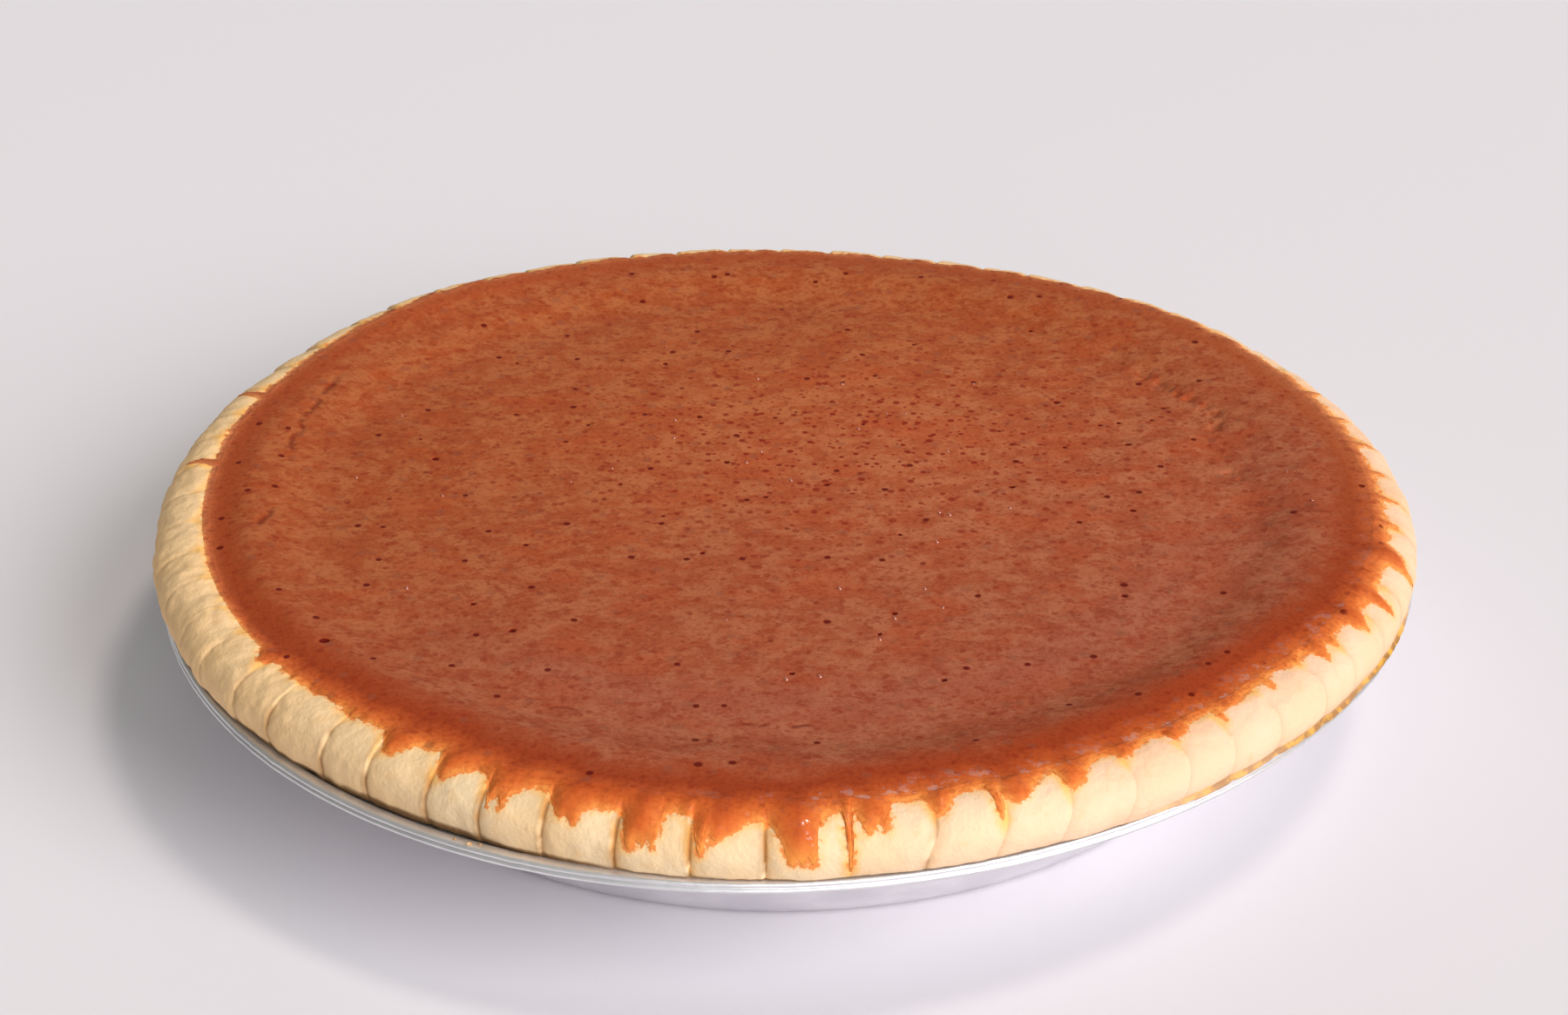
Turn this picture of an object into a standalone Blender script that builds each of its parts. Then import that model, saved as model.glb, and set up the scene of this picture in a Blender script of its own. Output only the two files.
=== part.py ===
"""Custard pie baked in its own round foil tin, in metres with +Z up.

The origin is the centre of the tin's flat base, on the surface that it stands on.
Angles run round the pie from the front (-Y) through the right (+X) to the back (+Y).
The rim of the crust is a roll, and a place on it is given by its roll angle:
180 is its inner side, 90 its crest, 0 its outer side and below 0 its underside.
"""
import math

import bmesh
import bpy

MM = 0.001
COLLECTION_NAME = "custard_pie"
GAP = 0.4 * MM
MERGE_DISTANCE = 0.00005

# the tin: foil, a sloping wall, a flat flange and a rolled bead of two bands
FOIL = 0.4 * MM
TIN_STEPS = 72
TIN_RADIUS = 123.0 * MM
BASE_RADIUS = 92.4 * MM
BASE_FILLET = 3.0 * MM
WALL_TOP_RADIUS = 111.6 * MM
FLANGE_HEIGHT = 27.0 * MM
FLANGE_EDGE = 119.9 * MM
BEAD_TOP = 28.2 * MM
BEAD_SEAM = 27.15 * MM
BEAD_BOTTOM = 26.0 * MM
BEAD_WIDTH = 1.9 * MM
SEAM_DEPTH = 0.45 * MM

# the tin was squeezed a little out of round: lobes, size and the angle of the first,
# and a bulge, with its angle, half width and size
OUT_OF_ROUND = ((2, 0.6 * MM, 122.0), (3, 1.36 * MM, 341.0))
BULGES = ((76.0, 12.0, 1.0 * MM),)

# the crust: a shell that lines the tin, with a fluted roll for its rim
FLUTES = 62
STEPS_PER_FLUTE = 3
FLUTE_START = -0.8
FLUTE_DEPTH = 1.1 * MM
FLUTE_LAP = 0.5 * MM
FLUTE_TOP = 105.0
FLUTE_FADE = 50.0
CRUST_THICKNESS = 4.6 * MM
ROLL_RADIUS = 115.5 * MM
ROLL_HEIGHT = 32.0 * MM
ROLL_OUT = 8.3 * MM
ROLL_IN = 6.5 * MM
ROLL_UP = 6.5 * MM
ROLL_END = -30.0
ROLL_INNER_STEPS = (0.0, 0.35, 0.7, 1.0)
ROLL_OUTER_STEPS = (0.3, 0.6, 0.85, 1.0)
CRUST_FOLLOWS_TIN = 0.7
CRUST_SHRINK = ((328.0, 17.0, -2.7 * MM),)
CRUST_RISE = (
    (180.0, 60.0, 1.0 * MM),
    (223.0, 12.0, 1.6 * MM),
    (164.0, 12.0, -0.8 * MM),
    (130.0, 10.0, 0.4 * MM),
)

# the filling: a sunken middle, a puffed ring, and an edge that ran over the roll
MIDDLE_HEIGHT = 36.9 * MM
CREASE_RADIUS = 96.0 * MM
CREASE_HEIGHT = 36.7 * MM
PUFF_RADIUS = 107.0 * MM
PUFF_HEIGHT = 39.5 * MM
OVERFLOW_THICKNESS = 1.2 * MM
EDGE_THICKNESS = 0.15 * MM
DRIP_TIP = 0.12
DRIP_RISE = 0.25
DRIP_FALL = 0.6

# how far the filling ran over the roll: pie angle, roll angle between the drips,
# and roll angle at the tips of the drips
OVERFLOW = (
    (0.0, 68.0, 16.0),
    (10.0, 76.0, 32.0),
    (25.0, 94.0, 56.0),
    (45.0, 94.0, 70.0),
    (62.0, 80.0, 50.0),
    (80.0, 58.0, 42.0),
    (115.0, 60.0, 52.0),
    (130.0, 46.0, 36.0),
    (225.0, 46.0, 36.0),
    (245.0, 68.0, 62.0),
    (265.0, 103.0, 98.0),
    (300.0, 103.0, 97.0),
    (322.0, 92.0, 72.0),
    (340.0, 78.0, 40.0),
    (352.0, 70.0, 12.0),
)

FOIL_COLOUR = (0.62, 0.61, 0.61)
CRUST_COLOUR = (0.83, 0.58, 0.31)
FILLING_COLOUR = (0.36, 0.085, 0.032)


def clear_scene():
    for old_object in list(bpy.data.objects):
        bpy.data.objects.remove(old_object, do_unlink=True)


def make_material(name, colour, roughness, metallic):
    material = bpy.data.materials.new(name)
    material.use_nodes = True
    shader = material.node_tree.nodes["Principled BSDF"]
    shader.inputs["Base Color"].default_value = (*colour, 1.0)
    shader.inputs["Roughness"].default_value = roughness
    shader.inputs["Metallic"].default_value = metallic
    return material


def smooth_step(value):
    value = min(max(value, 0.0), 1.0)
    return value * value * (3.0 - 2.0 * value)


def mix(start, end, part):
    return start + (end - start) * part


def turn_between(angle, centre):
    """The signed turn in degrees from centre to angle, the short way round."""
    return (angle - centre + 180.0) % 360.0 - 180.0


def bumps(angle, places):
    """Sum of soft bumps, each with an angle, a half width and a size."""
    total = 0.0
    for centre, width, size in places:
        total += size * math.exp(-0.5 * (turn_between(angle, centre) / width) ** 2)
    return total


def out_of_round(angle):
    total = 0.0
    for lobes, size, first in OUT_OF_ROUND:
        total += size * math.cos(lobes * math.radians(angle - first))
    return total + bumps(angle, BULGES)


def tin_point(angle, radius, height):
    """A point of the tin or of what lines it: the squeeze grows from base to rim."""
    return radius + out_of_round(angle) * height / FLANGE_HEIGHT, height


def flute_part(angle):
    """Where an angle lies in its flute, from 0 at one groove up to 1 at the next."""
    return ((angle - FLUTE_START) * FLUTES / 360.0 + 1e-6) % 1.0


def drip_shape(part):
    """A drip is longest just past its groove and tails off towards the next one."""
    past = (part - DRIP_TIP + 0.5) % 1.0 - 0.5
    return smooth_step(1.0 + past / DRIP_RISE if past < 0.0 else 1.0 - past / DRIP_FALL)


def overflow_roll(angle, drip=1.0):
    """Roll angle that the edge of the filling reaches, with full or lesser drips."""
    angle %= 360.0
    ring = (*OVERFLOW, (360.0, *OVERFLOW[0][1:]))
    first, second = next(pair for pair in zip(ring, ring[1:]) if angle <= pair[1][0])
    part = smooth_step((angle - first[0]) / (second[0] - first[0]))
    between = mix(first[1], second[1], part)
    tip = mix(first[2], second[2], part)
    return mix(between, tip, drip * drip_shape(flute_part(angle)))


def flute_relief(angle, roll):
    """Outward relief of the crimped rim: a groove, then a lap that falls away."""
    part = flute_part(angle)
    from_groove = min(part, 1.0 - part)
    groove = 1.0 - smooth_step(from_groove / 0.25)
    lap = 0.5 - part
    fade = smooth_step((FLUTE_TOP - roll) / FLUTE_FADE)
    return fade * (FLUTE_LAP * lap - FLUTE_DEPTH * groove)


def roll_point(angle, roll, lift=0.0):
    """A point on the crust's roll, or lifted off it square to its surface."""
    turn = math.radians(roll)
    reach = (ROLL_OUT if roll < 90.0 else ROLL_IN) + lift
    up = ROLL_UP + lift
    if roll > 0.0:
        up += bumps(angle, CRUST_RISE)
    relief = flute_relief(angle, roll)
    radius = ROLL_RADIUS + (reach + relief) * math.cos(turn)
    radius += CRUST_FOLLOWS_TIN * out_of_round(angle) + bumps(angle, CRUST_SHRINK)
    return radius, ROLL_HEIGHT + (up + relief) * math.sin(turn)


def inner_roll(angle, part):
    return mix(180.0, overflow_roll(angle, part * part), part)


def outer_roll(angle, part):
    return mix(overflow_roll(angle), ROLL_END, part)


def turned_solid(name, steps, start, stations, material, collection):
    """Turn a ladder of stations round the axis, then put each station's points
    where its own function of the pie angle says."""
    profile = bpy.data.meshes.new(name + "_profile")
    last = len(stations) - 1
    rungs = [(0.0 if index in (0, last) else 1.0, 0.0, -float(index)) for index in range(last + 1)]
    profile.from_pydata(rungs, [(index, index + 1) for index in range(last)], [])
    guide = bpy.data.objects.new(name + "_profile", profile)
    collection.objects.link(guide)
    screw = guide.modifiers.new("Turn", "SCREW")
    screw.axis = "Z"
    screw.angle = 2.0 * math.pi
    screw.steps = steps
    screw.render_steps = steps
    screw.use_merge_vertices = True
    screw.merge_threshold = MERGE_DISTANCE
    graph = bpy.context.evaluated_depsgraph_get()
    mesh = bpy.data.meshes.new_from_object(guide.evaluated_get(graph))
    bpy.data.objects.remove(guide, do_unlink=True)
    bpy.data.meshes.remove(profile)
    mesh.name = name

    for vertex in mesh.vertices:
        angle = math.degrees(math.atan2(vertex.co.x, -vertex.co.y)) + start
        station = stations[round(-vertex.co.z)]
        radius, height = station(angle)
        turn = math.radians(angle)
        vertex.co = (radius * math.sin(turn), -radius * math.cos(turn), height)

    shape = bmesh.new()
    shape.from_mesh(mesh)
    bmesh.ops.remove_doubles(shape, verts=shape.verts, dist=MERGE_DISTANCE)
    bmesh.ops.triangulate(shape, faces=shape.faces, quad_method="SHORT_EDGE")
    shape.to_mesh(mesh)
    shape.free()
    mesh.shade_smooth()
    mesh.set_sharp_from_angle(angle=math.radians(40.0))
    mesh.materials.clear()
    mesh.materials.append(material)
    solid = bpy.data.objects.new(name, mesh)
    collection.objects.link(solid)
    return solid


def axis_station(height):
    return lambda angle: (0.0, height)


def ring_station(radius, height):
    return lambda angle: (radius, height)


def tin_station(radius, height):
    return lambda angle: tin_point(angle, radius, height)


def roll_station(place, part, lift=0.0):
    return lambda angle: roll_point(angle, place(angle, part), lift)


def beside_roll_station(radius, height, follow=1.0):
    """A point near the roll, which moves in and out with it, fully or in part."""
    return lambda angle: (radius + follow * (roll_point(angle, 90.0)[0] - ROLL_RADIUS), height)


def build_tin(collection):
    """Flat base, sloping wall, flange, and a bead of two bands round its edge."""
    bead_inner = TIN_RADIUS - BEAD_WIDTH
    stations = [
        axis_station(FOIL),
        tin_station(BASE_RADIUS - BASE_FILLET, FOIL),
        tin_station(BASE_RADIUS - FOIL + 0.2 * MM, FOIL + 1.6 * MM),
        tin_station(WALL_TOP_RADIUS - 0.6 * MM, FLANGE_HEIGHT - 0.9 * MM),
        tin_station(WALL_TOP_RADIUS + 0.6 * MM, FLANGE_HEIGHT),
        tin_station(FLANGE_EDGE, FLANGE_HEIGHT),
        tin_station(bead_inner, BEAD_TOP - 0.3 * MM),
        tin_station(bead_inner + 0.6 * MM, BEAD_TOP),
        tin_station(TIN_RADIUS - 0.5 * MM, BEAD_TOP - 0.05 * MM),
        tin_station(TIN_RADIUS, BEAD_TOP - 0.5 * MM),
        tin_station(TIN_RADIUS - SEAM_DEPTH, BEAD_SEAM),
        tin_station(TIN_RADIUS + 0.1 * MM, BEAD_SEAM - 0.45 * MM),
        tin_station(TIN_RADIUS - 0.1 * MM, BEAD_BOTTOM + 0.15 * MM),
        tin_station(TIN_RADIUS - 0.8 * MM, BEAD_BOTTOM),
        tin_station(FLANGE_EDGE + 0.3 * MM, FLANGE_HEIGHT - FOIL),
        tin_station(WALL_TOP_RADIUS + 0.9 * MM, FLANGE_HEIGHT - FOIL),
        tin_station(WALL_TOP_RADIUS - 0.1 * MM, FLANGE_HEIGHT - FOIL - 0.8 * MM),
        tin_station(BASE_RADIUS + 0.6 * MM, 1.5 * MM),
        tin_station(BASE_RADIUS - BASE_FILLET + 0.4 * MM, 0.0),
        axis_station(0.0),
    ]
    material = make_material("foil", FOIL_COLOUR, 0.28, 1.0)
    return turned_solid("tin", TIN_STEPS, 0.0, stations, material, collection)


def build_crust(collection):
    """Shell with a fluted roll; the roll overhangs the flange and clears the bead."""
    floor = 2.0 * FOIL
    stations = [
        axis_station(floor + CRUST_THICKNESS),
        tin_station(BASE_RADIUS - 4.5 * MM, floor + CRUST_THICKNESS),
    ]
    stations += [roll_station(inner_roll, part) for part in ROLL_INNER_STEPS]
    stations += [roll_station(outer_roll, part) for part in ROLL_OUTER_STEPS]
    stations += [
        beside_roll_station(119.4 * MM, BEAD_TOP + 0.4 * MM),
        beside_roll_station(117.6 * MM, FLANGE_HEIGHT + GAP),
        tin_station(WALL_TOP_RADIUS + 0.3 * MM, FLANGE_HEIGHT + GAP),
        tin_station(WALL_TOP_RADIUS - 1.6 * MM, FLANGE_HEIGHT - 1.2 * MM),
        tin_station(BASE_RADIUS - 1.2 * MM, floor + 1.8 * MM),
        tin_station(BASE_RADIUS - BASE_FILLET - 1.0 * MM, floor),
        axis_station(floor),
    ]
    material = make_material("baked_crust", CRUST_COLOUR, 0.62, 0.0)
    steps = FLUTES * STEPS_PER_FLUTE
    return turned_solid("crust", steps, FLUTE_START, stations, material, collection)


def build_filling(collection):
    """Fills the crust; its edge lies over the roll in a thin sheet with drips."""
    floor = 2.0 * FOIL + CRUST_THICKNESS + GAP
    lifted = OVERFLOW_THICKNESS + GAP
    stations = [
        axis_station(MIDDLE_HEIGHT),
        ring_station(48.0 * MM, MIDDLE_HEIGHT),
        ring_station(84.0 * MM, MIDDLE_HEIGHT + 0.2 * MM),
        ring_station(CREASE_RADIUS, CREASE_HEIGHT),
        beside_roll_station(101.5 * MM, PUFF_HEIGHT - 0.9 * MM, 0.5),
        beside_roll_station(PUFF_RADIUS, PUFF_HEIGHT),
        roll_station(inner_roll, ROLL_INNER_STEPS[2], lifted),
        roll_station(inner_roll, 1.0, GAP + EDGE_THICKNESS),
        roll_station(inner_roll, ROLL_INNER_STEPS[2], GAP),
        roll_station(inner_roll, ROLL_INNER_STEPS[1], GAP),
        roll_station(inner_roll, 0.0, GAP),
        tin_station(BASE_RADIUS - 4.9 * MM, floor),
        axis_station(floor),
    ]
    material = make_material("custard", FILLING_COLOUR, 0.42, 0.0)
    steps = FLUTES * STEPS_PER_FLUTE
    return turned_solid("filling", steps, FLUTE_START, stations, material, collection)


def main():
    clear_scene()
    collection = bpy.data.collections.new(COLLECTION_NAME)
    bpy.context.scene.collection.children.link(collection)
    build_tin(collection)
    build_crust(collection)
    build_filling(collection)


main()
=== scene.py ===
import itertools
import math

import bpy
import numpy as np
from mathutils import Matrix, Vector, kdtree


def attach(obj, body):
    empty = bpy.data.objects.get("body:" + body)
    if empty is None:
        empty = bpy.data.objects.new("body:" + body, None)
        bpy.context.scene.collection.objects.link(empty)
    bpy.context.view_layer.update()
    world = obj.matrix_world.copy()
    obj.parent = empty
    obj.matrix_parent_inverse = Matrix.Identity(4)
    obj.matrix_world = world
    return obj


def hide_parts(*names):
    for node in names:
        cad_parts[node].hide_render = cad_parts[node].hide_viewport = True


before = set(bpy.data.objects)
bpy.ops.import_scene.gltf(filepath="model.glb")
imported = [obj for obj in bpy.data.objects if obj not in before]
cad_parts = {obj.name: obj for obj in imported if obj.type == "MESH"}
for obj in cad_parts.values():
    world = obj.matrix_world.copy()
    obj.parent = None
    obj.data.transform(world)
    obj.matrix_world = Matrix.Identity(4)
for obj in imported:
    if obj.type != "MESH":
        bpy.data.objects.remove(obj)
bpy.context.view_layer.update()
print("frame loaded:", sorted(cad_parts))

mm = 0.001  # shapes are worked out in millimetres and written to the meshes in metres
origin = (0.0, 0.0, 0.0)
farOff = 20.0  # distances between points are measured up to this many mm


def setMode(mode):
    bpy.ops.object.mode_set(mode=mode)


def deselectAll():
    if bpy.context.object and bpy.context.object.mode != "OBJECT":
        setMode("OBJECT")
    bpy.ops.object.select_all(action="DESELECT")


def selectOnly(piece):
    deselectAll()
    bpy.context.view_layer.objects.active = piece
    piece.select_set(True)


def smoothStep(value):
    value = np.clip(value, 0.0, 1.0)
    return value * value * (3.0 - 2.0 * value)


def mix(start, end, part):
    return start + (end - start) * part


def within(value, start, rise, end, fall):  # 1 between start and end, 0 outside, with soft ends
    return smoothStep((value - start) / rise) * smoothStep((end - value) / fall)


def turnBetween(angle, centre):  # signed, the short way round
    return (angle - centre + 180.0) % 360.0 - 180.0


def bumps(angle, places):  # sum of soft bumps: angle, half width, size
    total = 0.0
    for centre, width, size in places:
        total = total + size * np.exp(-0.5 * (turnBetween(angle, centre) / width) ** 2)
    return total


def alongTable(angle, table):  # smooth value round the pie from (angle, value) pairs
    places, values = np.array(table, float).T
    places = np.concatenate([places[-1:] - 360.0, places, places[:1] + 360.0])
    values = np.concatenate([values[-1:], values, values[:1]])
    angle = np.asarray(angle, float) % 360.0
    index = np.clip(np.searchsorted(places, angle, side="right") - 1, 0, len(places) - 2)
    part = (angle - places[index]) / (places[index + 1] - places[index])
    return mix(values[index], values[index + 1], smoothStep(part))


def gradientNoise(points, seed):  # smooth and random, the same on each run
    slopes = np.random.default_rng(seed).normal(size=(32, 32, 32, 3))
    slopes /= np.linalg.norm(slopes, axis=3, keepdims=True)
    low = np.floor(points).astype(int)
    part = points - low
    fade = part ** 3 * (part * (part * 6.0 - 15.0) + 10.0)
    total = np.zeros(len(points))
    for corner in itertools.product((0, 1), repeat=3):
        slope = slopes[tuple(((low + corner) % 32).T)]
        weight = np.prod(np.where(corner, fade, 1.0 - fade), axis=1)
        total += weight * np.sum(slope * (part - corner), axis=1)
    return 1.7 * total


def noiseAt(points, size, octaves=1, seed=0):  # about -1 to 1, with lumps of that size in mm
    total = 0.0
    for octave in range(octaves):
        shifted = np.asarray(points, float) / size * 2.1 ** octave + 7.3 * octave
        total = total + 0.5 ** octave * gradientNoise(shifted, seed + octave)
    return total


def readPoints(piece):
    flat = np.zeros(len(piece.data.vertices) * 3)
    piece.data.vertices.foreach_get("co", flat)
    return flat.reshape(-1, 3) / mm


def writePoints(piece, points):
    piece.data.vertices.foreach_set("co", (points * mm).ravel())
    piece.data.update()


def readValues(piece, name):
    values = np.zeros(len(piece.data.vertices))
    piece.data.attributes[name].data.foreach_get("value", values)
    return values


def writeValues(piece, **attributes):
    for name, values in attributes.items():
        attribute = piece.data.attributes.get(name) or piece.data.attributes.new(name, "FLOAT", "POINT")
        attribute.data.foreach_set("value", np.asarray(values, np.float32))


def pieAngle(points):  # 0 at the front, 90 at the right, 180 at the back
    return np.degrees(np.arctan2(points[:, 0], -points[:, 1])) % 360.0


def pieRadius(points):
    return np.hypot(points[:, 0], points[:, 1])


def onPie(angle, radius, height):  # the place in mm at a pie angle, radius and height
    turn = np.radians(angle)
    return np.stack([radius * np.sin(turn), -radius * np.cos(turn), height + 0.0 * turn], -1)


def spinRings(name, rings, columns):
    # the cross-section at the right of the pie, extruded point by point and spun round
    deselectAll()
    profile = [[float(np.squeeze(value)) for value in ring(np.array([90.0]))[:2]] for ring in rings]
    bpy.ops.mesh.primitive_plane_add(size=mm, location=origin)
    piece = bpy.context.object
    piece.name = name
    piece.data.name = name
    setMode("EDIT")
    bpy.ops.mesh.select_all(action="SELECT")
    bpy.ops.mesh.merge(type="CENTER")
    bpy.ops.transform.translate(value=(profile[0][0] * mm, 0.0, profile[0][1] * mm))
    for before, after in zip(profile, profile[1:]):
        step = ((after[0] - before[0]) * mm, 0.0, (after[1] - before[1]) * mm)
        bpy.ops.mesh.extrude_vertices_move(TRANSFORM_OT_translate={"value": step})
    setMode("OBJECT")

    # each point remembers its ring, and the spin copies that to every column
    points = readPoints(piece)
    section = np.array(profile)
    apart = np.hypot(points[:, None, 0] - section[None, :, 0], points[:, None, 2] - section[None, :, 1])
    writeValues(piece, ring=apart.argmin(axis=1))
    setMode("EDIT")
    bpy.ops.mesh.select_all(action="SELECT")
    bpy.ops.mesh.spin(steps=columns, angle=2.0 * math.pi, center=origin, axis=(0.0, 0.0, 1.0))
    bpy.ops.mesh.select_all(action="SELECT")
    bpy.ops.mesh.remove_doubles(threshold=0.002 * mm)
    bpy.ops.mesh.normals_make_consistent(inside=False)
    setMode("OBJECT")
    return piece


def moreColumns(piece, firstRing, lastRing, cuts):
    # cuts the edges that run round the pie, between two rings, into shorter ones
    ring = readValues(piece, "ring")
    ends = np.zeros(len(piece.data.edges) * 2, int)
    piece.data.edges.foreach_get("vertices", ends)
    ends = ring[ends.reshape(-1, 2)]
    level = np.abs(ends[:, 0] - ends[:, 1]) < 0.01
    chosen = level & (ends[:, 0] > firstRing - 0.5) & (ends[:, 0] < lastRing + 0.5)
    cutFiner(piece, "EDGE", chosen, cuts)


def cutFiner(piece, kind, chosen, cuts):
    # subdivides the chosen edges or faces
    selectOnly(piece)
    setMode("EDIT")
    bpy.ops.mesh.select_mode(type=kind)
    bpy.ops.mesh.select_all(action="DESELECT")
    setMode("OBJECT")
    parts = piece.data.edges if kind == "EDGE" else piece.data.polygons
    parts.foreach_set("select", chosen)
    setMode("EDIT")
    bpy.ops.mesh.subdivide(number_cuts=cuts)
    setMode("OBJECT")


def placeRings(piece, rings, turn=0.0):
    # every ring of points goes where its own function of the pie angle says
    points = readPoints(piece)
    angle = pieAngle(points) + turn
    ring = np.rint(readValues(piece, "ring")).astype(int)
    for index, place in enumerate(rings):
        mine = ring == index
        radius, height, *moved = place(angle[mine])
        points[mine] = onPie(moved[0] if moved else angle[mine], radius + 0.0 * angle[mine], height)
    writePoints(piece, points)


def nearest(points, places):
    # which place is nearest to each point, and how far off it is in mm
    tree = kdtree.KDTree(len(places))
    for index, place in enumerate(places):
        tree.insert(place, index)
    tree.balance()
    found = [tree.find(point) for point in points]
    return np.array([hit[1] for hit in found]), np.minimum([hit[2] for hit in found], farOff)


def joinCopies(name, shapes):
    # copies of the active piece, each with its own points, joined into one piece
    first = bpy.context.object
    pieces = [first]
    while len(pieces) < len(shapes):
        piece = first.copy()
        piece.data = first.data.copy()
        bpy.context.collection.objects.link(piece)
        pieces.append(piece)
    for piece, shape in zip(pieces, shapes):
        writePoints(piece, shape)
        piece.select_set(True)
    bpy.context.view_layer.objects.active = first
    bpy.ops.object.join()
    first.name = name
    first.data.name = name
    return first


def finishPiece(piece, material, nodes=()):
    selectOnly(piece)
    piece.data.shade_smooth()
    piece.data.materials.clear()
    piece.data.materials.append(material)
    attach(piece, "root")
    if nodes:
        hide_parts(*nodes)
    triangles = sum(len(face.vertices) - 2 for face in piece.data.polygons)
    print(piece.name, "done,", triangles, "triangles")


class Wire:  # a number or colour that varies over a surface
    def __init__(self, graph, socket):
        self.graph = graph
        self.socket = socket

    def math(self, operation, first, second):
        return self.graph.add("ShaderNodeMath", {"operation": operation}, {0: first, 1: second})

    def __add__(self, other):
        return self.math("ADD", self, other)

    __radd__ = __add__

    def __sub__(self, other):
        return self.math("SUBTRACT", self, other)

    def __rsub__(self, other):
        return self.math("SUBTRACT", other, self)

    def __mul__(self, other):
        return self.math("MULTIPLY", self, other)

    __rmul__ = __mul__


class Graph:
    def __init__(self, name, constants):
        self.material = bpy.data.materials.new(name)
        self.material.use_nodes = True
        self.nodes = self.material.node_tree.nodes
        self.links = self.material.node_tree.links
        self.shader = self.nodes["Principled BSDF"]
        for socket, value in constants.items():
            self.shader.inputs[socket].default_value = value

    def put(self, socket, value):
        if isinstance(value, Wire):
            self.links.new(value.socket, socket)
        else:
            socket.default_value = value

    def add(self, kind, settings=None, inputs=None, output=0):
        node = self.nodes.new(kind)
        for name, value in (settings or {}).items():
            if name == "stops":
                while len(node.color_ramp.elements) < len(value):
                    node.color_ramp.elements.new(0.5)
                for element, (place, colour) in zip(node.color_ramp.elements, value):
                    element.position = place
                    element.color = (*colour, 1.0)
            else:
                setattr(node, name, value)
        for name, value in (inputs or {}).items():
            self.put(node.inputs[name], value)
        return Wire(self, node.outputs[output])

    def between(self, value, low, high):  # 0 at low, 1 at high, with soft ends
        settings = {"interpolation_type": "SMOOTHSTEP"}
        return self.add("ShaderNodeMapRange", settings, {"Value": value, "From Min": low, "From Max": high})

    def blend(self, part, first, second, kind="MIX"):
        first = first if isinstance(first, Wire) else (*first, 1.0)
        second = second if isinstance(second, Wire) else (*second, 1.0)
        settings = {"data_type": "RGBA", "blend_type": kind}
        return self.add("ShaderNodeMix", settings, {0: part, 6: first, 7: second}, 2)

    def place(self, scale=(1.0, 1.0, 1.0), turn=0.0):
        here = self.add("ShaderNodeTexCoord", output=3)
        inputs = {"Vector": here, "Scale": scale, "Rotation": (0.0, 0.0, math.radians(turn))}
        return self.add("ShaderNodeMapping", {"vector_type": "POINT"}, inputs)

    def cloud(self, where, size, detail=2.0, roughness=0.5):  # size of the lumps in mm
        inputs = {"Vector": where, "Scale": 1.0 / (size * mm), "Detail": detail, "Roughness": roughness}
        return self.add("ShaderNodeTexNoise", {}, inputs)

    def beside(self, wire, output):  # another output of the same node
        return Wire(self, wire.socket.node.outputs[output])

    def attribute(self, name):
        return self.add("ShaderNodeAttribute", {"attribute_name": name}, output=2)

    def relief(self, height, distance, before=None):  # distance in mm
        inputs = {"Height": height, "Distance": distance * mm, "Strength": 1.0}
        if before is not None:
            inputs["Normal"] = before
        return self.add("ShaderNodeBump", {}, inputs)

    def finish(self, varying):
        for socket, value in varying.items():
            self.put(self.shader.inputs[socket], value)
        return self.material


tin = {
    "foil": 0.4,
    "columns": 744,
    "radius": 123.0,
    "baseRadius": 92.4,
    "baseFillet": 3.0,
    "wallTopRadius": 111.6,
    "flangeHeight": 27.0,
    "flangeEdge": 119.9,
    "beadTop": 28.2,
    "beadSeam": 27.15,
    "beadBottom": 26.0,
    "beadWidth": 2.6,
    "seamDepth": 0.55,
    "lobes": ((2, 0.6, 122), (3, 1.36, 341)),  # lobes, size, angle of the first
    "bulges": ((76, 12, 1),),  # angle, half width, size
    "wrinkle": 0.28,  # height of the creases in the wall
    "dents": 0.06,  # unevenness of the rolled bead
}


def outOfRound(angle):
    total = bumps(angle, tin["bulges"])
    for lobes, size, first in tin["lobes"]:
        total = total + size * np.cos(lobes * np.radians(angle - first))
    return total


def tinRing(radius, height):
    def place(angle):
        return radius + outOfRound(angle) * height / tin["flangeHeight"], height
    return place


def axisRing(height):
    def place(angle):
        return 0.0 * angle, height
    return place


def foilWrinkles(points):
    # shallow slanting creases in the wall, and small dents along the bead
    angle = pieAngle(points)
    height = points[:, 2]
    wall = within(height, 1.5, 4.0, 26.5, 3.0)
    slanted = onPie(angle + height * 0.9, 60.0, height * 0.35)
    crease = 1.0 - 2.0 * np.abs(noiseAt(slanted, 2.6, 2, 3))
    broad = noiseAt(slanted, 9.0, 1, 11)
    bead = smoothStep((height - 25.0) / 1.0)
    dent = noiseAt(onPie(angle, 120.0, height * 0.5), 5.0, 2, 7)
    facet = noiseAt(onPie(angle + height * 1.3, 120.0, height), 2.2, 1, 19)
    out = wall * tin["wrinkle"] * (0.5 * crease + 0.8 * broad) + bead * tin["dents"] * (dent + 0.3 * facet)
    out = np.where(pieRadius(points) > 60.0, out - 0.2, 0.0)  # the middle of the base stays flat
    turn = np.radians(angle)
    points[:, 0] += out * np.sin(turn)
    points[:, 1] -= out * np.cos(turn)
    points[:, 2] -= bead * np.abs(dent) * 0.10 * (height > 26.5)
    return points


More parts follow.
